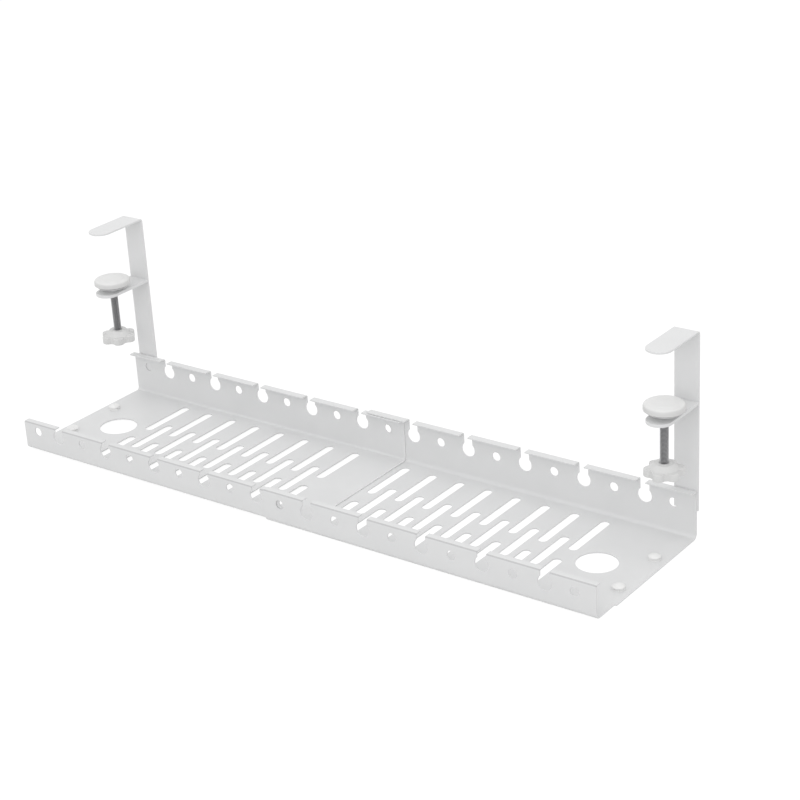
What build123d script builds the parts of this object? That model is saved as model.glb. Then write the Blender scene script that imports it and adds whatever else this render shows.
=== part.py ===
from build123d import *
import os

# Extendable under-desk cable tray with two screw clamps. Millimetres.
# X runs along the tray, Y from its front wall to its back wall, Z up.
# The origin is on the underside of the outer half's floor, midway along the
# overlap of the two halves and midway between the front and back walls.

# Sheet and nesting of the two halves
sheet = 1.2                  # thickness of the folded sheet
nest_gap = 0.3               # running gap between the inner and the outer half
tray_depth = 175.0           # outside, front wall to back wall, outer half
front_height = 34.0          # outside height of the front wall, outer half
back_height = 49.0           # outside height of the back wall, outer half
front_lip = 7.0              # inward lip on the front wall, outside face to edge
back_lip = 9.0               # inward lip on the back wall, outside face to edge
floor_bend = 2.8             # inside bend radius at the floor, inner half
lip_bend = 0.8               # inside bend radius at the lips, both halves

# Length of the halves, measured along the row of wall openings
opening_pitch = 33.0         # hole to notch, notch to hole
end_pitch = 30.0             # outermost hole to the first notch, free end
openings_per_wall = 11       # holes and notches, which take turns
outer_free_margin = 24.0     # free end of the outer half to its first hole
inner_free_margin = 19.0     # free end of the inner half to its first hole
nested_margin = 19.0         # last hole to the end that lies in the overlap
overlap = 40.8               # how far the halves overlap, fully extended

# Openings in the walls
hole_diameter = 9.2
notch_diameter = 15.0        # round bottom of a keyhole notch
notch_neck = 10.0            # neck, open through the lip
front_hole_height = 22.3     # centre of the holes above the half's underside
back_hole_height = 31.8

# Openings in the floor
slot_width = 9.5
slot_length = 65.0           # back and front rows
middle_slot_length = 60.0    # middle row
slot_pitch = 33.0
row_shift = 42.4             # back and front rows of slots, from the middle row
middle_row_y = -1.3
slots_per_row = 8            # back and front rows; the middle row has one less
cable_hole_diameter = 39.5
relief_length = 2.2          # how far the front corner of the outer half's end stands back
relief_width = 30.3

# Studs in the floor
stud_end_distance = 13.0     # from the free end
stud_spread = 64.0           # between the two studs of one end
stud_head_diameter = 12.0
stud_head_height = 3.0
stud_dome_share = 0.7        # part of the head's height that is domed
stud_neck_diameter = 7.0
stud_neck_height = 1.5
stud_flange_diameter = 10.0
stud_flange_height = 0.8
stud_shank_diameter = 5.0
stud_hole_clearance = 0.1    # radial

# Clamp straps, hooks and jaws
strap_width = 25.0
strap_thickness = 2.0
strap_bend = 1.5             # inside radius where the hook turns forward
strap_bottom = 28.0          # lower end of the strap above the outer underside
hook_top = 206.0             # top face of the hook plate above that underside
reach = 40.4                 # strap's front face to the screw's axis
tip_reach = 61.0             # strap's front face to the round tips of hook and jaw
left_strap_inset = 5.8       # left strap stands in from the inner half's end
right_strap_overhang = 1.0   # right strap stands out past the outer half's end
jaw_bottom = 134.5           # underside of the jaw above the outer underside
jaw_thickness = 3.0
collar_diameter = 13.0       # threaded collar drawn up from the jaw's plate
collar_height = 3.2

# Clamp screw and its pad
screw_diameter = 8.0
thread_clearance = 0.08      # radial, screw in the jaw
pad_rest_gap = 0.3           # collar to pad plate, screw fully lowered
neck_diameter = 5.0
neck_clearance = 0.08        # radial, screw neck in the pad plate
swivel_gap = 0.3             # axial, each side of the pad plate
rivet_diameter = 8.0
rivet_height = 1.2
plate_diameter = 34.0
plate_thickness = 3.7
plate_in_cap = 0.5           # depth of the plate that the cap covers
cap_fit = 0.15               # radial, plate in the cap
cap_diameter = 38.0
cap_height = 6.9
cap_rim_radius = 2.5
cap_crown_diameter = 24.0
cap_crown_height = 0.5
rivet_room = 0.6             # clear space round the rivet inside the cap

# Star knob on the lower end of the screw
knob_bottom = 80.0           # above the outer underside
knob_diameter = 37.5
knob_lobes = 6
lobe_radius = 5.5
lobe_height = 7.2
knob_core_diameter = 29.0
hub_base_diameter = 26.6     # the hub tapers towards its top
hub_top_diameter = 18.0
hub_height = 4.8
knob_valley_radius = 3.0
knob_edge_radius = 1.2
knob_base = 2.2              # closed bottom under the screw's end
knob_fit = 0.05              # radial, screw in the knob
right_knob_turn = 37.0       # direction of one lobe, degrees from +X
left_knob_turn = 14.0

# Sizes that follow from those above
nest_step = sheet + nest_gap
row_length = end_pitch + (openings_per_wall - 2) * opening_pitch
outer_length = outer_free_margin + row_length + nested_margin
inner_length = inner_free_margin + row_length + nested_margin
outer_start = -overlap / 2
outer_end = outer_start + outer_length
inner_start = overlap / 2 - inner_length
inner_end = overlap / 2
outer_wall_y = tray_depth / 2
inner_wall_y = outer_wall_y - nest_step
plate_bottom = jaw_bottom + jaw_thickness + collar_height + pad_rest_gap
plate_top = plate_bottom + plate_thickness
cap_bottom = plate_top - plate_in_cap
cap_top = cap_bottom + cap_height
hub_top = knob_bottom + lobe_height + hub_height
screw_bottom = knob_bottom + knob_base

os.makedirs("parts", exist_ok=True)


def channel(start, end, step):
    """Folded sheet channel with two lips, set in from the outer half by step.

    Args:
        start: X of its left end.
        end: X of its right end.
        step: how far each face lies inside the outer half's.
    """
    half = tray_depth / 2 - step - sheet / 2
    low = step + sheet / 2
    front = front_height - step - sheet / 2
    back = back_height - step - sheet / 2
    low_radius = floor_bend + nest_step - step + sheet / 2
    lip_radius = lip_bend + sheet / 2
    fold = FilletPolyline(
        (-half + front_lip - sheet / 2, front),
        (-half, front),
        (-half, low),
        (half, low),
        (half, back),
        (half - back_lip + sheet / 2, back),
        radius=(lip_radius, low_radius, low_radius, lip_radius),
    )
    section = trace(fold, line_width=sheet)
    profile = Plane.YZ.offset(start) * section
    return extrude(profile, amount=end - start)


def wall_holes(xs, height, front):
    """Round holes through one wall, at the given places along it."""
    side = -1 if front else 1
    drill = Cylinder(hole_diameter / 2, 4 * nest_step, rotation=(90, 0, 0))
    holes = []
    for x in xs:
        holes.append(Pos(x, side * (outer_wall_y - nest_step), height) * drill)
    return holes


def wall_notches(xs, height, front):
    """Keyhole notches: a round bottom with a neck open through the lip."""
    side = -1 if front else 1
    lip = front_lip if front else back_lip
    rise = (front_height if front else back_height) - height + sheet
    deep = lip + 2 * nest_step
    centre = side * (outer_wall_y + nest_step - deep / 2)
    bottom = Cylinder(notch_diameter / 2, 4 * nest_step, rotation=(90, 0, 0))
    neck = Box(notch_neck, deep, rise, align=(Align.CENTER, Align.CENTER, Align.MIN))
    notches = []
    for x in xs:
        notches.append(Pos(x, side * (outer_wall_y - nest_step), height) * bottom)
        notches.append(Pos(x, centre, height) * neck)
    return notches


def floor_slots(first, sense):
    """Three rows of slots across the floor; the middle row is staggered.

    Args:
        first: X of the first slot of the back and front rows.
        sense: +1 where the rows run towards +X, -1 towards -X.
    """
    deep = 4 * nest_step
    long = extrude(SlotOverall(slot_length, slot_width, rotation=90), amount=deep, both=True)
    short = extrude(SlotOverall(middle_slot_length, slot_width, rotation=90), amount=deep, both=True)
    slots = []
    for index in range(slots_per_row):
        x = first + sense * index * slot_pitch
        slots.append(Pos(x, middle_row_y + row_shift, 0) * long)
        slots.append(Pos(x, middle_row_y - row_shift, 0) * long)
        if index < slots_per_row - 1:
            slots.append(Pos(x + sense * slot_pitch / 2, middle_row_y, 0) * short)
    return slots


def tray_half(free_end, nested_end, margin, step):
    """One half of the tray, with its openings counted from its free end.

    Args:
        free_end: X of the end that stays outside the overlap.
        nested_end: X of the end inside the overlap.
        margin: free end to the first hole.
        step: how far the half nests inside the outer half.
    """
    sense = 1 if nested_end > free_end else -1
    body = channel(min(free_end, nested_end), max(free_end, nested_end), step)
    first = free_end + sense * margin
    places = [first]
    for index in range(openings_per_wall - 1):
        places.append(first + sense * (end_pitch + index * opening_pitch))
    holes = places[0::2]
    notches = places[1::2]
    cuts = []
    cuts += wall_holes(holes, front_hole_height + step, True)
    cuts += wall_holes(holes, back_hole_height + step, False)
    cuts += wall_notches(notches, front_hole_height + step, True)
    cuts += wall_notches(notches, back_hole_height + step, False)
    cuts += floor_slots(places[2], sense)
    cuts.append(Pos(places[1], 0, 0) * Cylinder(cable_hole_diameter / 2, 8 * nest_step))
    bore = Cylinder(stud_shank_diameter / 2 + stud_hole_clearance, 8 * nest_step)
    for side in (-1, 1):
        spot = Pos(free_end + sense * stud_end_distance, side * stud_spread / 2, 0)
        cuts.append(spot * bore)
    return body - cuts


def floor_stud(end, sense, side, floor_top):
    """Domed plastic stud, pressed into the floor beside a free end."""
    up = (Align.CENTER, Align.CENTER, Align.MIN)
    head_bottom = stud_flange_height + stud_neck_height
    head_top = head_bottom + stud_head_height
    shank = Pos(0, 0, -sheet) * Cylinder(stud_shank_diameter / 2, sheet, align=up)
    flange = Cylinder(stud_flange_diameter / 2, stud_flange_height, align=up)
    neck = Cylinder(stud_neck_diameter / 2, head_bottom, align=up)
    head = Pos(0, 0, head_bottom) * Cylinder(stud_head_diameter / 2, stud_head_height, align=up)
    rise = stud_dome_share * stud_head_height
    dome = (stud_head_diameter ** 2 / 4 + rise ** 2) / (2 * rise)
    head &= Pos(0, 0, head_top - dome) * Sphere(dome)
    spot = Pos(end + sense * stud_end_distance, side * stud_spread / 2, floor_top)
    return spot * (shank + flange + neck + head)


def plan_outline(x, wall_y, bottom, top):
    """Upright block in plan like the hook and the jaw: a round front end."""
    centre = wall_y - tip_reach + strap_width / 2
    back = wall_y + strap_thickness
    deep = (Align.CENTER, Align.MIN, Align.MIN)
    block = Box(strap_width, back - centre, top - bottom, align=deep)
    nose = Cylinder(strap_width / 2, top - bottom, align=(Align.CENTER, Align.CENTER, Align.MIN))
    return Pos(x, centre, bottom) * (block + nose)


def strap(x, wall_y):
    """Flat bar behind the back wall, its top turned forward as the hook."""
    middle = wall_y + strap_thickness / 2
    bar = FilletPolyline(
        (middle, strap_bottom),
        (middle, hook_top - strap_thickness / 2),
        (wall_y - tip_reach, hook_top - strap_thickness / 2),
        radius=strap_bend + strap_thickness / 2,
    )
    section = trace(bar, line_width=strap_thickness)
    bent = extrude(Plane.YZ.offset(x - strap_width / 2) * section, amount=strap_width)
    return bent & plan_outline(x, wall_y, 0, hook_top + strap_thickness)


def jaw(x, wall_y):
    """Lower jaw: a round-nosed plate against the strap, with a threaded collar."""
    plate = plan_outline(x, wall_y, jaw_bottom, jaw_bottom + jaw_thickness)
    deep = (Align.CENTER, Align.MIN, Align.CENTER)
    behind = Box(2 * strap_width, 2 * strap_thickness, 4 * jaw_thickness, align=deep)
    plate -= Pos(x, wall_y, jaw_bottom) * behind
    up = (Align.CENTER, Align.CENTER, Align.MIN)
    collar = Cylinder(collar_diameter / 2, jaw_thickness + collar_height, align=up)
    plate += Pos(x, wall_y - reach, jaw_bottom) * collar
    bore = Cylinder(screw_diameter / 2 + thread_clearance, 4 * (jaw_thickness + collar_height))
    return plate - Pos(x, wall_y - reach, jaw_bottom) * bore


def clamp_screw(x, wall_y):
    """Screw with a riveted neck at its top that carries the pad plate."""
    shoulder = plate_bottom - swivel_gap
    neck_top = plate_top + swivel_gap
    up = (Align.CENTER, Align.CENTER, Align.MIN)
    shank = Pos(0, 0, screw_bottom) * Cylinder(screw_diameter / 2, shoulder - screw_bottom, align=up)
    neck = Pos(0, 0, shoulder) * Cylinder(neck_diameter / 2, neck_top - shoulder, align=up)
    rivet = Pos(0, 0, neck_top) * Cylinder(rivet_diameter / 2, rivet_height, align=up)
    return Pos(x, wall_y - reach, 0) * (shank + neck + rivet)


def pad_plate(x, wall_y):
    """Steel plate that swivels on the screw's neck."""
    ring = Circle(plate_diameter / 2) - Circle(neck_diameter / 2 + neck_clearance)
    return Pos(x, wall_y - reach, plate_bottom) * extrude(ring, amount=plate_thickness)


def pad_cap(x, wall_y):
    """Moulded cap over the plate, with a rounded rim and a low round crown."""
    up = (Align.CENTER, Align.CENTER, Align.MIN)
    body = Cylinder(cap_diameter / 2, cap_height - cap_crown_height, align=up)
    rim = body.faces().sort_by(Axis.Z)[-1].edges()
    body = fillet(rim, cap_rim_radius)
    crown = Cylinder(cap_crown_diameter / 2, cap_height, align=up)
    body += crown
    body -= Cylinder(plate_diameter / 2 + cap_fit, plate_in_cap, align=up)
    pocket = swivel_gap + rivet_height + rivet_room
    well = Cylinder(rivet_diameter / 2 + rivet_room, pocket, align=up)
    body -= Pos(0, 0, plate_in_cap) * well
    return Pos(x, wall_y - reach, cap_bottom) * body


def star_knob(x, wall_y, turn):
    """Six-lobed knob with a tapered hub, closed under the screw's end."""
    up = (Align.CENTER, Align.CENTER, Align.MIN)
    outline = Circle(knob_core_diameter / 2)
    for lobe in PolarLocations(knob_diameter / 2 - lobe_radius, knob_lobes):
        outline += lobe * Circle(lobe_radius)
    valleys = outline.vertices()
    outline = fillet(valleys, knob_valley_radius)
    body = extrude(outline, amount=lobe_height)
    body = fillet(body.faces().sort_by(Axis.Z)[-1].edges(), knob_edge_radius)
    hub = Cone(hub_base_diameter / 2, hub_top_diameter / 2, hub_height, align=up)
    body += Pos(0, 0, lobe_height) * hub
    socket = Cylinder(screw_diameter / 2 + knob_fit, lobe_height + hub_height, align=up)
    body -= Pos(0, 0, knob_base) * socket
    return Pos(x, wall_y - reach, knob_bottom) * (Rot(0, 0, turn) * body)


def write(shape, name):
    """Writes one node's solid under its name."""
    solid = shape.solids()[0] if len(shape.solids()) == 1 else Compound(children=shape.solids())
    export_step(solid, os.path.join("parts", name + ".step"))


relief = Box(2 * relief_length, 2 * relief_width, 4 * front_height)
outer = tray_half(outer_end, outer_start, outer_free_margin, 0)
outer -= Pos(outer_end, -tray_depth / 2, 0) * relief
write(outer, "outer_half")
write(tray_half(inner_start, inner_end, inner_free_margin, nest_step), "inner_half")

right_x = outer_end + right_strap_overhang - strap_width / 2
left_x = inner_start + left_strap_inset + strap_width / 2
clamps = (
    ("right", right_x, outer_wall_y, right_knob_turn),
    ("left", left_x, inner_wall_y, left_knob_turn),
)
for side, x, wall_y, turn in clamps:
    write(strap(x, wall_y), side + "_strap")
    write(jaw(x, wall_y), side + "_jaw")
    write(clamp_screw(x, wall_y), side + "_screw")
    write(pad_plate(x, wall_y), side + "_pad_plate")
    write(pad_cap(x, wall_y), side + "_pad_cap")
    write(star_knob(x, wall_y, turn), side + "_knob")

for half, end, sense, top in (("outer", outer_end, -1, sheet), ("inner", inner_start, 1, nest_step + sheet)):
    write(floor_stud(end, sense, -1, top), half + "_front_stud")
    write(floor_stud(end, sense, 1, top), half + "_back_stud")
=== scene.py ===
"""Looks of an extendable under-desk cable tray with two screw clamps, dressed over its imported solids."""

import logging
from dataclasses import dataclass, field
from enum import Enum
from math import atan2, cos, pi, radians, sin
from typing import Any, Optional, Sequence, Union

import bmesh
import bpy
from mathutils import Matrix, Vector

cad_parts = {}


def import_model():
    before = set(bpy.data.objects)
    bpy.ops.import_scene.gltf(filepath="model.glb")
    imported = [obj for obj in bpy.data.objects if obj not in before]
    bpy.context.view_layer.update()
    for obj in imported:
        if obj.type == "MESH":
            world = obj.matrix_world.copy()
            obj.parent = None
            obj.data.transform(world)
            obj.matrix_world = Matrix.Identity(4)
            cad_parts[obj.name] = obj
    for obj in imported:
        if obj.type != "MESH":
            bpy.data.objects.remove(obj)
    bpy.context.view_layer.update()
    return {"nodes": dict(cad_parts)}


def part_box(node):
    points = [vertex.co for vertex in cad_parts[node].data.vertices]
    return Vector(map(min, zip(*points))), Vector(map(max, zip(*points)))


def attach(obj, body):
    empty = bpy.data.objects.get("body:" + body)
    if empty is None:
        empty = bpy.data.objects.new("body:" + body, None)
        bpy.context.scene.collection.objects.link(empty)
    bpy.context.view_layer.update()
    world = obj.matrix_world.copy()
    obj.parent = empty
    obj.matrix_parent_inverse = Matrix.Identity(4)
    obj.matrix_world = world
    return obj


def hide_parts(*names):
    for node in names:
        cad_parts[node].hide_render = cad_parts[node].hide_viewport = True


Number = Union[int, float]
Point = tuple[float, float]
Span = tuple[float, float]
Colour = tuple[float, float, float]

LOG = logging.getLogger("cable_tray")
MM = 0.001
WHITE = (1.0, 1.0, 1.0)
BLACK = (0.0, 0.0, 0.0)

# How near, in metres, points are one: in a turned mesh, in a joined one, and in a cut or a sliver.
MERGE = 1e-6
WELD = 2e-6
HAIR = 1e-7

# Socket numbers: a Mix node's for colours, some of which share a name, and a Noise node's level.
MIX_SHARE, MIX_FIRST, MIX_SECOND, MIX_RESULT = 0, 6, 7, 2
NOISE_LEVEL = 0


class Side(Enum):
    """The two clamps, named after the end of the tray that they stand at."""

    RIGHT = "right"
    LEFT = "left"


class Half(Enum):
    """The two halves of the tray."""

    OUTER = "outer"
    INNER = "inner"


# Shader maths


class Value:
    """A shader socket that adds Math nodes when it is used in an expression."""

    def __init__(self, shader: "Shader", socket: Any) -> None:
        """Wraps a socket.

        Args:
            shader: the tree that the socket belongs to.
            socket: an output socket with one number.
        """
        self.shader = shader
        self.socket = socket

    def _math(self, operation: str, *operands: Any) -> "Value":
        """Adds one Math node.

        Args:
            operation: its operation.
            operands: values or numbers, in the order of its inputs.

        Returns:
            The node's output.
        """
        inputs = {index: operand for index, operand in enumerate(operands)}
        return self.shader.node("ShaderNodeMath", {"operation": operation}, inputs).value("Value")

    def __add__(self, other: Any) -> "Value":
        """Sum."""
        return self._math("ADD", self, other)

    __radd__ = __add__

    def __mul__(self, other: Any) -> "Value":
        """Product."""
        return self._math("MULTIPLY", self, other)

    __rmul__ = __mul__

    def __sub__(self, other: Any) -> "Value":
        """Difference."""
        return self._math("SUBTRACT", self, other)

    def __rsub__(self, other: Any) -> "Value":
        """Difference, with the value on the right."""
        return self._math("SUBTRACT", other, self)

    def __pow__(self, other: Any) -> "Value":
        """Power."""
        return self._math("POWER", self, other)

    def __rpow__(self, other: Any) -> "Value":
        """Power, with the value as the exponent."""
        return self._math("POWER", other, self)

    def wave(self) -> "Value":
        """Sine of the value in radians, moved and halved to lie between 0 and 1."""
        return self._math("SINE", self) * 0.5 + 0.5

    def at_least(self, other: Any) -> "Value":
        """The larger of the value and another."""
        return self._math("MAXIMUM", self, other)

    def around(self, spread: Number) -> "Value":
        """How far a value between 0 and 1 lies from its middle, times a spread."""
        return (self - 0.5) * spread

    def step(self, low: Number, high: Number) -> "Value":
        """A smooth rise from 0 at low to 1 at high.

        Args:
            low: where the rise starts.
            high: where it ends.

        Returns:
            The rise, between 0 and 1.
        """
        settings = {"interpolation_type": "SMOOTHSTEP"}
        ends = {"Value": self, "From Min": low, "From Max": high, "To Min": 0.0, "To Max": 1.0}
        return self.shader.node("ShaderNodeMapRange", settings, ends).value("Result")


def distance(first: Value, second: Value, point: Sequence[float]) -> Value:
    """How far two coordinates are from a point, all in metres."""
    return ((first - point[0]) ** 2.0 + (second - point[1]) ** 2.0) ** 0.5


class NodeRef:
    """A node just made, which gives its outputs by name."""

    def __init__(self, shader: "Shader", node: Any) -> None:
        """Keeps the node and its tree."""
        self.shader = shader
        self.node = node

    def out(self, name: Union[str, int]) -> Any:
        """An output socket, by name or number."""
        return self.node.outputs[name]

    def value(self, name: Union[str, int]) -> Value:
        """An output with one number, ready for expressions."""
        return Value(self.shader, self.node.outputs[name])


class Shader:
    """The node tree of a material or a world, built from scratch."""

    def __init__(self, owner: Any, end: str = "ShaderNodeOutputMaterial") -> None:
        """Empties the owner's tree and gives it its last node.

        Args:
            owner: the material or world.
            end: the type of the last node.
        """
        owner.use_nodes = True
        self.owner = owner
        self.tree = owner.node_tree
        self.tree.nodes.clear()
        self.output = self.node(end).node

    def node(self, kind: str, settings: Optional[dict] = None, inputs: Optional[dict] = None) -> NodeRef:
        """Makes any node.

        Args:
            kind: its type.
            settings: its properties, which are set first.
            inputs: numbers, colours, sockets or values, by the input's name or number.

        Returns:
            The node.
        """
        node = self.tree.nodes.new(kind)
        for key, setting in (settings or {}).items():
            setattr(node, key, setting)
        for key, given in (inputs or {}).items():
            self.feed(node.inputs[key], given)
        return NodeRef(self, node)

    def feed(self, socket: Any, given: Any) -> None:
        """Links or sets one input.

        Args:
            socket: the input's socket.
            given: a value or an output socket, which is linked, or what the socket is set to.
        """
        if isinstance(given, Value):
            given = given.socket
        if isinstance(given, bpy.types.NodeSocket):
            self.tree.links.new(given, socket)
        else:
            socket.default_value = given

    def place(self) -> Any:
        """Object coordinates, in metres, in the frame of the whole part."""
        return self.node("ShaderNodeTexCoord").out("Object")

    def axes(self) -> tuple[Value, Value, Value]:
        """The three Object coordinates apart."""
        split = self.node("ShaderNodeSeparateXYZ", inputs={"Vector": self.place()})
        return split.value("X"), split.value("Y"), split.value("Z")

    def noise(self, size_mm: Number, detail: Number = 2.0) -> Value:
        """Soft noise between about 0 and 1.

        Args:
            size_mm: the size of its spots.
            detail: its octaves.

        Returns:
            The noise.
        """
        inputs = {"Vector": self.place(), "Scale": 1.0 / (size_mm * MM), "Detail": detail}
        return self.node("ShaderNodeTexNoise", inputs=inputs).value(NOISE_LEVEL)

    def blend(self, share: Value, first: Any, second: Colour) -> Any:
        """A colour that gives way to another, by a share that varies.

        Args:
            share: 0 for the first colour, 1 for the second.
            first: a linear colour, or the socket of one.
            second: a linear colour.

        Returns:
            The colour's socket.
        """
        start = (*first, 1.0) if isinstance(first, tuple) else first
        inputs = {MIX_SHARE: share, MIX_FIRST: start, MIX_SECOND: (*second, 1.0)}
        return self.node("ShaderNodeMix", {"data_type": "RGBA"}, inputs).out(MIX_RESULT)

    def bump(self, height: Value, depth_mm: Number, strength: Number) -> Any:
        """A normal bent by a height.

        Args:
            height: the relief, between 0 and 1.
            depth_mm: how deep 1 is.
            strength: the share of it that shows.

        Returns:
            The normal's socket.
        """
        inputs = {"Height": height, "Distance": depth_mm * MM, "Strength": strength}
        return self.node("ShaderNodeBump", inputs=inputs).out("Normal")

    def seen(self) -> Value:
        """1 for a ray from the camera, or one that a shiny or clear thing sends on, else 0."""
        rays = self.node("ShaderNodeLightPath")
        sent_on = rays.value("Is Glossy Ray").at_least(rays.value("Is Transmission Ray"))
        return rays.value("Is Camera Ray").at_least(sent_on)

    def end_in(self, socket: Any) -> Any:
        """Shows what a shader's socket gives, and returns the tree's owner."""
        self.feed(self.output.inputs["Surface"], socket)
        return self.owner

    def surface(self, inputs: dict) -> Any:
        """Ends the tree in one Principled shader with these inputs, and returns its owner."""
        return self.end_in(self.node("ShaderNodeBsdfPrincipled", inputs=inputs).out("BSDF"))


# Finishes


@dataclass(frozen=True)
class PowderCoat:
    """White powder coat on sheet steel: low sheen, with the fine ripple of a baked coat.

    line_mm is how far from a bend its painted shade line starts to fade and has faded, and end_mm how far
    before a cut end the painted light on it starts and is full.
    """

    colour: Colour = (0.752, 0.755, 0.757)
    shade: Colour = (0.735, 0.738, 0.741)
    bend_shade: Colour = (0.47, 0.47, 0.475)
    end_light: Colour = (0.95, 0.95, 0.95)
    cloud_mm: float = 45.0
    cloud_rise: Span = (0.3, 0.7)
    ripple_mm: float = 1.1
    ripple_share: float = 0.8
    grain_mm: float = 0.35
    grain_detail: float = 1.0
    relief_mm: float = 0.02
    relief_strength: float = 0.6
    roughness: float = 0.42
    grain_dulling: float = 0.12
    cloud_dulling: float = 0.06
    line_mm: Span = (0.45, 1.125)
    line_cover: float = 0.75
    line_patch: float = 0.5
    end_mm: Span = (0.3, 0.05)

    def build(self, name: str, bend: Optional[Point] = None, end_x: Optional[float] = None) -> Any:
        """Makes the material.

        Args:
            name: its name.
            bend: Y and Z, in metres, of an outer bend along X, along which a line of painted shade is laid.
            end_x: X, in metres, of a cut end facing +X, painted nearly white as painted light over its
                shade.

        Returns:
            The material.
        """
        shader = Shader(bpy.data.materials.new(name))
        cloud = shader.noise(self.cloud_mm)
        ripple = shader.noise(self.ripple_mm)
        grain = shader.noise(self.grain_mm, self.grain_detail)
        colour = shader.blend(cloud.step(*self.cloud_rise), self.colour, self.shade)
        # Painted shade: a dark line along the outer bend, with a little random patchiness.
        if bend:
            _, y, z = shader.axes()
            near, far = (reach * MM for reach in self.line_mm)
            line = 1.0 - distance(y, z, bend).step(near, far)
            cover = line * (self.line_cover + ripple.around(self.line_patch))
            colour = shader.blend(cover, colour, self.bend_shade)
        # Painted light: the cut end is painted nearly white so that the shade in the step between the
        # halves hardly shows.
        if end_x is not None:
            x, _, _ = shader.axes()
            start, full = (end_x - depth * MM for depth in self.end_mm)
            colour = shader.blend(x.step(start, full), colour, self.end_light)
        dulling = grain.around(self.grain_dulling) + cloud.around(self.cloud_dulling)
        relief = ripple * self.ripple_share + grain * (1.0 - self.ripple_share)
        return shader.surface({
            "Base Color": colour,
            "Roughness": self.roughness + dulling,
            "Normal": shader.bump(relief, self.relief_mm, self.relief_strength),
        })


@dataclass(frozen=True)
class MouldedPlastic:
    """White moulded plastic: smooth, with faint flow and a fine spark-eroded grain.

    side_shade_mm is how far below the top the side's painted shade is full and ends.
    """

    colour: Colour
    shade: Colour
    side: Colour = (0.69, 0.69, 0.685)
    side_shade_mm: Span = (2.6, 1.0)
    flow_mm: float = 14.0
    flow_detail: float = 1.5
    flow_rise: Span = (0.35, 0.65)
    grain_mm: float = 0.3
    relief_mm: float = 0.006
    relief_strength: float = 0.5
    roughness: float = 0.36
    grain_dulling: float = 0.1

    def build(self, name: str, top_z: Optional[float] = None) -> Any:
        """Makes the material.

        Args:
            name: its name.
            top_z: height, in metres, of the top; the side below it is painted darker, as painted shade.

        Returns:
            The material.
        """
        shader = Shader(bpy.data.materials.new(name))
        flow = shader.noise(self.flow_mm, self.flow_detail)
        grain = shader.noise(self.grain_mm)
        colour = shader.blend(flow.step(*self.flow_rise), self.colour, self.shade)
        # Painted shade: the side below the top is painted darker than the top, standing for a side that is
        # less lit.
        if top_z is not None:
            _, _, z = shader.axes()
            full, end = (top_z - drop * MM for drop in self.side_shade_mm)
            colour = shader.blend(1.0 - z.step(full, end), colour, self.side)
        return shader.surface({
            "Base Color": colour,
            "Roughness": self.roughness + grain.around(self.grain_dulling),
            "Normal": shader.bump(grain, self.relief_mm, self.relief_strength),
        })


@dataclass(frozen=True)
class PlatedSteel:
    """Zinc-plated screw steel, with painted shade in the roots of its thread."""

    colour: Colour = (0.56, 0.56, 0.57)
    # Painted shade: the darker colour of the thread's roots.
    root: Colour = (0.24, 0.24, 0.245)
    outer_mm: float = 4.0
    depth_mm: float = 0.75
    crest_cover: float = 0.8
    crest_patch: float = 0.3
    scuff_mm: float = 1.6
    scuff_detail: float = 3.0
    grain_mm: float = 0.25
    relief_mm: float = 0.004
    relief_strength: float = 0.5
    roughness: float = 0.3
    root_dulling: float = 0.25
    scuff_dulling: float = 0.15

    def build(self, name: str, axis: Sequence[float]) -> Any:
        """Makes the material for a screw.

        Args:
            name: the material's name.
            axis: X and Y of the screw's axis, in metres.

        Returns:
            The material.
        """
        shader = Shader(bpy.data.materials.new(name))
        x, y, _ = shader.axes()
        crest = distance(x, y, axis).step((self.outer_mm - self.depth_mm) * MM, self.outer_mm * MM)
        scuff = shader.noise(self.scuff_mm, self.scuff_detail)
        bright = crest * (self.crest_cover + scuff * self.crest_patch)
        dulling = (1.0 - crest) * self.root_dulling + scuff.around(self.scuff_dulling)
        return shader.surface({
            "Base Color": shader.blend(bright, self.root, self.colour),
            "Metallic": 1.0,
            "Roughness": self.roughness + dulling,
            "Normal": shader.bump(shader.noise(self.grain_mm), self.relief_mm, self.relief_strength),
        })


@dataclass(frozen=True)
class DarkSteel:
    """Blackened steel of the pad plates, turning marks round the screw's axis, painted light on the dish.
    """

    colour: Colour = (0.25, 0.25, 0.255)
    worn: Colour = (0.36, 0.36, 0.365)
    dish_light: Colour = (0.7, 0.7, 0.7)
    edge_mm: float = 0.15
    smut_mm: float = 3.0
    smut_detail: float = 3.0
    worn_rise: Span = (0.4, 0.75)
    mark_mm: float = 0.6
    mark_share: float = 0.6
    relief_mm: float = 0.01
    relief_strength: float = 0.5
    rim_metal: float = 0.6
    roughness: float = 0.42
    smut_dulling: float = 0.2

    def build(self, name: str, axis: Sequence[float], rim_z: float) -> Any:
        """Makes the material for a plate.

        Args:
            name: the material's name.
            axis: X and Y of the plate's axis, in metres.
            rim_z: height, in metres, below which the drawn dish is painted light grey, as painted light.

        Returns:
            The material.
        """
        shader = Shader(bpy.data.materials.new(name))
        x, y, z = shader.axes()
        edge = self.edge_mm * MM
        black = z.step(rim_z - edge, rim_z + edge)
        smut = shader.noise(self.smut_mm, self.smut_detail)
        rim_colour = shader.blend(smut.step(*self.worn_rise), self.colour, self.worn)
        marks = (distance(x, y, axis) * (2 * pi / (self.mark_mm * MM))).wave()
        relief = marks * self.mark_share + smut * (1.0 - self.mark_share)
        return shader.surface({
            # Painted light: below the rim the plate is painted light grey, where the gap under the cap is
            # shaded.
            "Base Color": shader.blend(1.0 - black, rim_colour, self.dish_light),
            "Metallic": black * self.rim_metal,
            "Roughness": self.roughness + smut.around(self.smut_dulling),
            "Normal": shader.bump(relief, self.relief_mm, self.relief_strength),
        })


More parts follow.
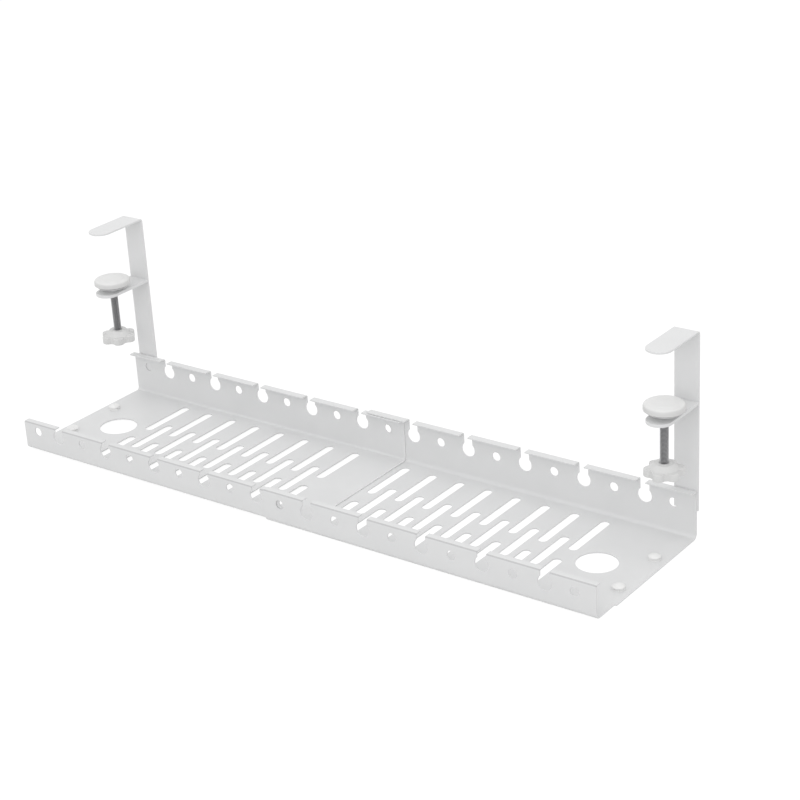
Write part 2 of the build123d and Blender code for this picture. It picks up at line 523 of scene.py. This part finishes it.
# Painted light: the straps' coat is a lighter copy of the halves' powder coat, standing for light on the
# shaded straps.
STRAP_COAT_PAINTED_LIGHTER = PowderCoat(colour=(0.772, 0.775, 0.777), shade=(0.755, 0.758, 0.761))
# Painted light and shade: caps, knobs and studs are lit and shaded copies of one white plastic; the caps
# and studs are painted lighter and the knobs darker.
CAP_PLASTIC_PAINTED_LIGHTER = MouldedPlastic(colour=(0.83, 0.83, 0.825), shade=(0.805, 0.805, 0.8))
KNOB_PLASTIC_PAINTED_DARKER = MouldedPlastic(colour=(0.71, 0.71, 0.705), shade=(0.69, 0.69, 0.685))
STUD_PLASTIC_PAINTED_LIGHTER = MouldedPlastic(colour=(0.86, 0.86, 0.855), shade=(0.83, 0.83, 0.825))


# Mesh making


class Mesher:
    """A bmesh on its way to being one object, with its place in its mesh.

    Edges bent less than FLAT_ANGLE are dissolved and those bent more than SHARP_ANGLE are broken,
    both in degrees.
    """

    FLAT_ANGLE = 0.5
    SHARP_ANGLE = 60.0

    def __init__(self, name: str) -> None:
        """Starts an empty bmesh.

        Args:
            name: the object's name.
        """
        self.name = name
        self.mesh = bmesh.new()

    def start_from(self, node: Any) -> None:
        """Starts from a copy of a carried-over solid, its triangles joined up.

        Args:
            node: the solid's object, whose own mesh stays as it is.
        """
        self.mesh.from_mesh(node.data)
        bmesh.ops.remove_doubles(self.mesh, verts=self.mesh.verts[:], dist=WELD)
        bmesh.ops.dissolve_degenerate(self.mesh, edges=self.mesh.edges[:], dist=HAIR)

    def break_edges(self, width_mm: float) -> None:
        """Breaks the sharp edges, as the blank's tumbling and its coat do.

        Args:
            width_mm: how far the break reaches over each face.
        """
        bmesh.ops.dissolve_limit(
            self.mesh, angle_limit=radians(self.FLAT_ANGLE), use_dissolve_boundaries=False,
            verts=self.mesh.verts[:], edges=self.mesh.edges[:],
        )
        limit = radians(self.SHARP_ANGLE)
        bmesh.ops.bevel(
            self.mesh, geom=[edge for edge in self.mesh.edges if edge.calc_face_angle(0.0) > limit],
            offset=width_mm * MM, offset_type="OFFSET", affect="EDGES", segments=1, profile=0.5,
            material=-1, clamp_overlap=True,
        )
        self.clean(WELD)

    def polyline(self, points: Sequence[Point]) -> list:
        """Adds an open chain of edges in the XZ plane.

        Args:
            points: radius and height of each point, in millimetres.

        Returns:
            The chain's vertices and edges.
        """
        verts = [self.mesh.verts.new((radius * MM, 0.0, height * MM)) for radius, height in points]
        edges = [self.mesh.edges.new(pair) for pair in zip(verts, verts[1:])]
        return [*verts, *edges]

    def turn(self, points: Sequence[Point], steps: int) -> None:
        """Turns a profile into a closed solid of revolution about Z.

        Args:
            points: radius and height of each point, in millimetres, from pole to pole.
            steps: facets round the axis.
        """
        bmesh.ops.spin(
            self.mesh, geom=self.polyline(points), cent=(0, 0, 0), axis=(0, 0, 1), dvec=(0, 0, 0),
            angle=2 * pi, steps=steps, use_merge=True, use_duplicate=False,
        )
        self.clean(MERGE)

    def cut_off(self, height_mm: float, direction: int) -> None:
        """Cuts the mesh off level and closes the cut.

        Args:
            height_mm: the height of the cut.
            direction: 1 takes what is above it away, -1 what is below.
        """
        cut = bmesh.ops.bisect_plane(
            self.mesh, geom=self.mesh.verts[:] + self.mesh.edges[:] + self.mesh.faces[:], dist=HAIR,
            plane_co=(0, 0, height_mm * MM), plane_no=(0, 0, direction), clear_outer=True,
        )
        rim = [item for item in cut["geom_cut"] if isinstance(item, bmesh.types.BMEdge)]
        bmesh.ops.edgeloop_fill(self.mesh, edges=rim)

    def clean(self, near: float) -> None:
        """Merges points that are nearer than this, in metres, and turns every face outwards."""
        bmesh.ops.remove_doubles(self.mesh, verts=self.mesh.verts[:], dist=near)
        bmesh.ops.recalc_face_normals(self.mesh, faces=self.mesh.faces[:])

    def finish(self, place: Vector, material: Any, smooth_angle: float) -> Any:
        """Moves the mesh to its place and makes its object.

        Args:
            place: where its own origin goes, in metres.
            material: its finish.
            smooth_angle: edges sharper than this, in degrees, stay sharp.

        Returns:
            The object, which itself sits at the origin.
        """
        bmesh.ops.translate(self.mesh, verts=self.mesh.verts[:], vec=place)
        limit = radians(smooth_angle)
        for face in self.mesh.faces:
            face.smooth = True
        for edge in self.mesh.edges:
            edge.smooth = len(edge.link_faces) == 2 and edge.calc_face_angle(0.0) < limit
        return self.make_object(material)

    def make_object(self, material: Any) -> Any:
        """Makes the mesh an object of the scene, with one finish.

        Args:
            material: its finish.

        Returns:
            The object.
        """
        data = bpy.data.meshes.new(self.name)
        self.mesh.to_mesh(data)
        self.mesh.free()
        data.materials.append(material)
        piece = bpy.data.objects.new(self.name, data)
        bpy.context.scene.collection.objects.link(piece)
        return piece


def arc(centre: Point, radius: float, start: float, end: float, steps: int) -> list[Point]:
    """Points of an arc in a profile.

    Args:
        centre: its centre, as radius and height.
        radius: its radius.
        start: the first angle, in degrees from the outward direction.
        end: the last angle.
        steps: how many pieces it is cut into.

    Returns:
        The points, both ends included.
    """
    angles = [radians(start + (end - start) * step / steps) for step in range(steps + 1)]
    return [(centre[0] + radius * cos(a), centre[1] + radius * sin(a)) for a in angles]


def beside(corner: Point, offsets: Sequence[Point]) -> list[Point]:
    """Points of a profile that are given from one of its corners, outwards and upwards."""
    return [(corner[0] + out, corner[1] + up) for out, up in offsets]


def measure(node: str) -> Point:
    """Radius and height, in millimetres, of an upright round solid."""
    low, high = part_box(node)
    return (high.x - low.x) / (2 * MM), (high.z - low.z) / MM


def axis_of(node: str, height: float) -> Vector:
    """The point of an upright round solid's axis at a height, in metres."""
    low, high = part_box(node)
    return Vector(((low.x + high.x) / 2, (low.y + high.y) / 2, height))


def stand_for(piece: Any, node: str, body: str) -> None:
    """Lets a new piece ride on its body and stand for its node.

    Args:
        piece: the new object.
        node: the node that it replaces.
        body: the body that it moves with.
    """
    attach(piece, body)
    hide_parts(node)
    LOG.info("%s: %d faces", piece.name, len(piece.data.polygons))


# Sub-assemblies


@dataclass
class Clamp:
    """One screw clamp: strap, jaw, screw, pad and knob. Sizes in millimetres, angles in degrees.

    A single Point is a radius and a height, and a list of Points holds offsets outwards and upwards,
    from the outside in. thread_shares are the heights, as shares of the pitch, where the thread's
    lower and upper flanks start and end.
    """

    side: Side
    nodes: dict
    paint: Any
    cap_plastic: Any
    knob_plastic: Any
    knob_turn: float
    facets: int = 96
    edge_break: float = 0.3
    pitch: float = 1.25
    thread_depth: float = 0.72
    thread_steps: int = 28
    thread_shares: tuple[float, ...] = (0.14, 0.46, 0.6, 0.92)
    spare_turns: int = 3
    swivel_play: float = 0.3
    neck_radius: float = 2.5
    rivet_foot: float = 3.6
    rivet_radius: float = 4.0
    rivet_round: float = 1.0
    neck_facets: int = 32
    cap_hollow: Point = (4.6, 2.6)
    cap_skirt: Point = (17.15, 0.5)
    cap_foot: float = 0.4
    cap_foot_angle: float = -70.0
    cap_rim: float = 2.8
    crown_radius: float = 12.0
    crown_rise: float = 0.9
    crown_slope: tuple[Point, ...] = ((1.2, 0.35), (0.7, 0.45), (0.0, 0.82), (-0.6, 0.9))
    lobes: int = 6
    knob_facets: int = 144
    knob_radius: float = 18.75
    core_radius: float = 14.5
    lobe_radius: float = 5.5
    lobe_height: float = 7.2
    lobe_blend: float = 1.6
    lobe_edge: float = 0.9
    lobe_flat: float = 3.2
    knob_hollow: Point = (9.0, 0.6)
    knob_foot: float = 0.6
    foot_flat: float = 1.6
    hub_base: float = 13.3
    hub_fillet: tuple[Point, ...] = ((0.3, 0.0), (0.0, 0.15))
    hub_top: float = 9.0
    hub_height: float = 4.8
    hub_edge: float = 0.6
    hub_inset: float = 0.3
    hub_angle: float = 40.0
    ring: tuple[Point, ...] = ((6.6, 0.0), (6.3, 0.3), (4.5, 0.3), (4.2, 0.1), (4.05, -0.6))
    bore_floor: float = 2.2
    plate_rim: float = 1.7
    plate_draw: float = 5.0
    plate_bore: float = 2.6
    plate_fold: float = 1.3
    fold_angles: Span = (-55.0, -12.0)
    fold_rise: float = 0.3
    rim_rise: float = 0.1
    plate_edge: float = 0.2

    def named(self, part: str) -> str:
        """The node's name of one of this clamp's parts."""
        return f"{self.side.value}_{part}"

    def axis_at(self, height: float) -> Vector:
        """The point of the screw's axis at a height, in metres."""
        return axis_of(self.named("screw"), height)

    def foot_of(self, part: str) -> Vector:
        """The point of the screw's axis at the foot of one of this clamp's parts, in metres."""
        return self.axis_at(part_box(self.named(part))[0].z)

    def thread(self, maker: Mesher, outer: float, low: float, top: float) -> None:
        """Adds the threaded shank, cut off level at both ends.

        Args:
            maker: the screw's mesh.
            outer: the thread's outer radius.
            low: the height of its lower end.
            top: the height of its upper end.
        """
        root = outer - self.thread_depth
        rise, crest, fall, end = (share * self.pitch for share in self.thread_shares)
        chain = maker.polyline([
            (root, 0.0), (root, rise), (outer, crest), (outer, fall), (root, end), (root, self.pitch),
        ])
        turns = int((top - low) / self.pitch) + self.spare_turns
        bmesh.ops.spin(
            maker.mesh, geom=chain, cent=(0, 0, 0), axis=(0, 0, 1),
            dvec=(0, 0, self.pitch * MM / self.thread_steps), angle=2 * pi * turns,
            steps=turns * self.thread_steps, use_merge=False, use_duplicate=False,
        )
        bmesh.ops.remove_doubles(maker.mesh, verts=maker.mesh.verts[:], dist=WELD)
        start = low - self.spare_turns / 2 * self.pitch
        bmesh.ops.translate(maker.mesh, verts=maker.mesh.verts[:], vec=(0, 0, start * MM))
        maker.cut_off(low, -1)
        maker.cut_off(top, 1)
        maker.clean(MERGE)

    def screw(self) -> None:
        """The screw, with its real thread, its neck and the riveted end in the cap."""
        low, high = (corner.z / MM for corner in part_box(self.named("screw")))
        plate_low, plate_high = (corner.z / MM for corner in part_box(self.named("pad_plate")))
        outer, _ = measure(self.named("screw"))
        top = plate_low - self.swivel_play
        seat = plate_high + self.swivel_play
        edge = self.rivet_round
        maker = Mesher(self.named("threaded_screw"))
        self.thread(maker, outer, low, top)
        maker.turn([
            (0.0, top), (self.neck_radius, top), (self.neck_radius, seat), (self.rivet_foot, seat),
            *arc((self.rivet_radius - edge, high - edge), edge, 0, 90, steps=4), (0.0, high),
        ], self.neck_facets)
        steel = PlatedSteel().build(self.named("plated_steel"), self.axis_at(0.0))
        piece = maker.finish(self.axis_at(0.0), steel, smooth_angle=25.0)
        stand_for(piece, self.named("screw"), self.named("spindle"))

    def cap(self) -> None:
        """The pad's moulded cap, with a rounded rim and a low crown."""
        radius, height = measure(self.named("pad_cap"))
        shoulder = height - self.crown_rise
        hollow, roof = self.cap_hollow
        skirt, step = self.cap_skirt
        foot, rim = self.cap_foot, self.cap_rim
        maker = Mesher(self.named("moulded_cap"))
        maker.turn([
            (0.0, roof), (hollow, roof), (hollow, step), (skirt, step), (skirt, 0.0), (radius - foot, 0.0),
            *arc((radius - foot, foot), foot, self.cap_foot_angle, 0, steps=3),
            *arc((radius - rim, shoulder - rim), rim, 0, 90, steps=8),
            *beside((self.crown_radius, shoulder), self.crown_slope), (0.0, height),
        ], self.facets)
        piece = maker.finish(self.foot_of("pad_cap"), self.cap_plastic, smooth_angle=50.0)
        stand_for(piece, self.named("pad_cap"), self.named("pad"))

    def lobed(self, angle: float) -> float:
        """Radius of the knob's lobed outline.

        Args:
            angle: direction from the axis, in radians from the middle of one lobe.

        Returns:
            The radius, with the valleys between lobe and core blended.
        """
        sector = 2 * pi / self.lobes
        off = (angle + sector / 2) % sector - sector / 2
        centre = self.knob_radius - self.lobe_radius
        inside = self.lobe_radius ** 2 - (centre * sin(off)) ** 2
        reach = centre * cos(off) + inside ** 0.5 if inside > 0 else 0.0
        share = min(max(0.5 + (reach - self.core_radius) / (2 * self.lobe_blend), 0.0), 1.0)
        return self.core_radius + (reach - self.core_radius) * share + self.lobe_blend * share * (1 - share)

    def knob(self) -> None:
        """The star knob: a turned profile whose rim is drawn out into lobes."""
        outer, inner, lobe_top = self.knob_radius, self.hub_base, self.lobe_height
        top = lobe_top + self.hub_height
        hollow, depth = self.knob_hollow
        foot, edge, hub = self.knob_foot, self.lobe_edge, self.hub_edge
        maker = Mesher(self.named("star_knob"))
        maker.turn([
            (0.0, depth), (hollow, depth), (hollow + depth, 0.0), (inner, 0.0),
            (outer - self.foot_flat, 0.0), *arc((outer - foot, foot), foot, -90, 0, steps=3),
            *arc((outer - edge, lobe_top - edge), edge, 0, 90, steps=4),
            (outer - self.lobe_flat, lobe_top), *beside((inner, lobe_top), self.hub_fillet),
            *arc((self.hub_top - self.hub_inset, top - hub), hub, self.hub_angle, 90, steps=4),
            *beside((0.0, top), self.ring), (self.ring[-1][0], self.bore_floor), (0.0, self.bore_floor),
        ], self.knob_facets)
        for vert in maker.mesh.verts:
            radius = vert.co.xy.length
            if radius > inner * MM + MERGE:
                reach = self.lobed(atan2(vert.co.y, vert.co.x) - radians(self.knob_turn))
                drawn = inner + (radius / MM - inner) * (reach - inner) / (outer - inner)
                vert.co.xy *= drawn * MM / radius
        maker.clean(MERGE)
        piece = maker.finish(self.foot_of("knob"), self.knob_plastic, smooth_angle=35.0)
        stand_for(piece, self.named("knob"), self.named("spindle"))

    def plate(self) -> None:
        """The pressed pad plate: a full rim under the cap, drawn in below to its swivel seat."""
        radius, height = measure(self.named("pad_plate"))
        rim = height - self.plate_rim
        bore, fold, edge = self.plate_bore, self.plate_fold, self.plate_edge
        maker = Mesher(self.named("pressed_plate"))
        maker.turn([
            (bore, 0.0), (radius - self.plate_draw, 0.0),
            *arc((radius - fold, rim + self.fold_rise), fold, *self.fold_angles, steps=4),
            (radius, rim + self.rim_rise), (radius, height - edge), (radius - edge, height),
            (bore, height), (bore, 0.0),
        ], self.facets)
        foot = self.foot_of("pad_plate")
        steel = DarkSteel().build(self.named("dark_steel"), foot, foot.z + rim * MM)
        piece = maker.finish(foot, steel, smooth_angle=40.0)
        stand_for(piece, self.named("pad_plate"), self.named("pad"))

    def sheet_part(self, part: str, name: str) -> None:
        """A punched part of the clamp, with its sharp edges broken.

        Args:
            part: the part that it is made from and stands for.
            name: the new piece's name after the side.
        """
        maker = Mesher(self.named(name))
        maker.start_from(self.nodes[self.named(part)])
        maker.break_edges(self.edge_break)
        piece = maker.finish(Vector((0, 0, 0)), self.paint, smooth_angle=35.0)
        tray = {Side.RIGHT: "outer_tray", Side.LEFT: "inner_tray"}[self.side]
        stand_for(piece, self.named(part), tray)

    def build(self) -> None:
        """Makes and dresses the whole clamp."""
        self.screw()
        self.plate()
        self.cap()
        self.knob()
        self.sheet_part("strap", "bent_strap")
        self.sheet_part("jaw", "drawn_jaw")


@dataclass
class Tray:
    """The two folded halves and the studs in their floors. Sizes in millimetres.

    The pairs of neck_foot and head_fold are offsets outwards and upwards, from below, and
    dome_shares are shares of the head's radius.
    """

    nodes: dict
    stud_plastic: Any
    front_heights: dict = field(default_factory=lambda: {Half.OUTER: 34.0, Half.INNER: 31.0})
    edge_break: float = 0.4
    bend_inset: float = 0.6
    sheet_thickness: float = 1.2
    shank_radius: float = 2.5
    flange_radius: float = 5.6
    flange_rise: float = 0.8
    flange_edge: float = 0.3
    neck_radius: float = 4.4
    neck_foot: tuple[Point, ...] = ((0.5, 0.0), (0.2, 0.2), (0.0, 0.7))
    neck_flare: float = 0.5
    head_depth: float = 3.0
    head_edge: float = 0.9
    head_fold: tuple[Point, ...] = ((-0.5, 0.0), (-0.1, 0.2))
    dome_shares: tuple[float, ...] = (0.985, 0.93, 0.8, 0.6, 0.35, 0.15)
    stud_facets: int = 48

    def sheet(self, half: Half) -> None:
        """One folded half, with its sharp edges broken.

        Args:
            half: which of the two.
        """
        node = f"{half.value}_half"
        maker = Mesher(f"{half.value}_folded_sheet")
        maker.start_from(self.nodes[node])
        maker.break_edges(self.edge_break)
        low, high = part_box(node)
        inset = self.bend_inset * MM
        # Painted shade: a dark line is laid along the front wall's outer bend.
        bend = (low.y + inset, low.z + self.front_heights[half] * MM - inset)
        # Painted light: the inner half's cut end is painted nearly white.
        end_x = high.x if half is Half.INNER else None
        coat = PowderCoat().build(f"{half.value}_powder_coat", bend, end_x)
        piece = maker.finish(Vector((0, 0, 0)), coat, smooth_angle=35.0)
        stand_for(piece, node, f"{half.value}_tray")

    def dome(self, head: float, top: float, rise: float) -> list[Point]:
        """Points of the stud's domed head, from its edge to near its middle.

        Args:
            head: the head's radius.
            top: the height of the dome's middle.
            rise: how far the middle stands above the edge.

        Returns:
            The points, as radius and height.
        """
        curve = (head ** 2 + rise ** 2) / (2 * rise)
        radii = [head * share for share in self.dome_shares]
        return [(radius, top - curve + (curve ** 2 - radius ** 2) ** 0.5) for radius in radii]

    def stud(self, half: Half, row: str) -> None:
        """One moulded stud: flange on the floor, waisted neck and domed head.

        Args:
            half: the half that it is pressed into.
            row: front or back.
        """
        node = f"{half.value}_{row}_stud"
        head, top = measure(node)
        shank, neck, wide = self.shank_radius, self.neck_radius, self.flange_radius
        floor = self.sheet_thickness
        flange = floor + self.flange_rise
        brim = top - self.head_depth
        maker = Mesher(f"{half.value}_{row}_moulded_stud")
        maker.turn([
            (0.0, 0.0), (shank, 0.0), (shank, floor), (wide, floor), (wide, flange - self.flange_edge),
            (wide - self.flange_edge, flange), *beside((neck, flange), self.neck_foot),
            (neck + self.neck_flare, brim), *beside((head, brim), self.head_fold),
            (head, brim + self.head_edge), *self.dome(head, top, self.head_depth - self.head_edge),
            (0.0, top),
        ], self.stud_facets)
        foot = axis_of(node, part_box(node)[0].z)
        piece = maker.finish(foot, self.stud_plastic, smooth_angle=50.0)
        stand_for(piece, node, f"{half.value}_tray")

    def build(self) -> None:
        """Makes and dresses the halves and their studs."""
        for half in Half:
            self.sheet(half)
            for row in ("front", "back"):
                self.stud(half, row)


# Studio


@dataclass(frozen=True)
class Lamp:
    """A square soft light: where it hangs and its side, in metres, and its power, in watts."""

    name: str
    place: tuple[float, float, float]
    size: float
    power: float


@dataclass
class Studio:
    """Floor, lights and camera. Sizes in metres where a name gives no other unit.

    right and down are where the camera's own right and down point. floor_white is the floor's colour
    as a light bounces off it; shown_white is its colour and shown_glow its own light as it is seen.
    """

    camera_mm: tuple[float, float, float] = (1133.35897, -1376.70399, 881.38704)
    right: tuple[float, float, float] = (0.80788236, 0.58694564, -0.05311239)
    down: tuple[float, float, float] = (0.19876584, -0.35620377, -0.91302301)
    focal_px: float = 2017.7343
    image_px: int = 800
    sensor_mm: float = 36.0
    clip_end: float = 50.0
    world_strength: float = 0.83
    floor_size: float = 14.0
    floor_white: float = 0.72
    shown_white: float = 0.14
    shown_glow: float = 0.92
    lit_point: tuple[float, float, float] = (0.0, 0.0, 0.05)
    lamps: tuple[Lamp, ...] = (
        Lamp("front_light", (1.4, -3.9, 1.9), 3.6, 38.0),
        Lamp("top_light", (0.0, -0.3, 3.2), 3.0, 16.0),
    )

    def camera(self) -> None:
        """The camera, at the photograph's viewing angle."""
        data = bpy.data.cameras.new("camera")
        data.sensor_width = self.sensor_mm
        data.lens = self.focal_px * self.sensor_mm / self.image_px
        data.clip_end = self.clip_end
        eye = bpy.data.objects.new("camera", data)
        bpy.context.scene.collection.objects.link(eye)
        right = Vector(self.right).normalized()
        down = Vector(self.down)
        down = (down - right * down.dot(right)).normalized()
        turn = Matrix((right, -down, right.cross(-down))).transposed()
        eye.matrix_world = Matrix.Translation(Vector(self.camera_mm) * MM) @ turn.to_4x4()
        bpy.context.scene.camera = eye

    def hang(self, lamp: Lamp) -> None:
        """Hangs a light so that it looks at the tray.

        Args:
            lamp: the light.
        """
        data = bpy.data.lights.new(lamp.name, "AREA")
        data.shape = "SQUARE"
        data.size = lamp.size
        data.energy = lamp.power
        light = bpy.data.objects.new(lamp.name, data)
        light.visible_camera = False
        bpy.context.scene.collection.objects.link(light)
        aim = (Vector(self.lit_point) - Vector(lamp.place)).normalized()
        turn = aim.to_track_quat("-Z", "Y").to_matrix().to_4x4()
        light.matrix_world = Matrix.Translation(lamp.place) @ turn

    def world(self) -> None:
        """An even white room, shown as plain white behind the object."""
        shader = Shader(bpy.data.worlds.new("room"), "ShaderNodeOutputWorld")
        levels = {"Value": shader.seen(), "To Min": self.world_strength, "To Max": 1.0}
        strength = shader.node("ShaderNodeMapRange", inputs=levels).out("Result")
        back = shader.node("ShaderNodeBackground", inputs={"Color": (*WHITE, 1.0), "Strength": strength})
        bpy.context.scene.world = shader.end_in(back.out("Background"))

    def floor(self) -> None:
        """A wide pale floor that keeps the object's shadow."""
        shader = Shader(bpy.data.materials.new("pale_floor"))
        seen = shader.seen()
        white = self.floor_white - seen * (self.floor_white - self.shown_white)
        diffuse = shader.node("ShaderNodeBsdfDiffuse", inputs={"Color": shader.blend(white, BLACK, WHITE)})
        glow = shader.node(
            "ShaderNodeEmission", inputs={"Color": (*WHITE, 1.0), "Strength": seen * self.shown_glow},
        )
        both = shader.node("ShaderNodeAddShader", inputs={0: diffuse.out("BSDF"), 1: glow.out("Emission")})
        maker = Mesher("floor")
        bmesh.ops.create_grid(maker.mesh, x_segments=1, y_segments=1, size=self.floor_size / 2)
        maker.make_object(shader.end_in(both.out("Shader")))

    def build(self) -> None:
        """Sets the whole studio."""
        bpy.context.scene.view_settings.view_transform = "Standard"
        self.camera()
        self.world()
        self.floor()
        for lamp in self.lamps:
            self.hang(lamp)


def main() -> None:
    """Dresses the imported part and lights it."""
    logging.basicConfig(level=logging.INFO, format="%(message)s")
    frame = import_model()
    nodes = frame["nodes"]
    Studio().build()
    paint = STRAP_COAT_PAINTED_LIGHTER.build("strap_powder_coat")
    # The caps' sides below their top get painted shade.
    caps = CAP_PLASTIC_PAINTED_LIGHTER.build("cap_plastic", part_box("right_pad_cap")[1].z)
    knobs = KNOB_PLASTIC_PAINTED_DARKER.build("knob_plastic")
    studs = STUD_PLASTIC_PAINTED_LIGHTER.build("stud_plastic")
    Tray(nodes, studs).build()
    knob_turns = {Side.RIGHT: 37.0, Side.LEFT: 14.0}
    for side in Side:
        Clamp(side, nodes, paint, caps, knobs, knob_turns[side]).build()


if __name__ == "__main__":
    main()
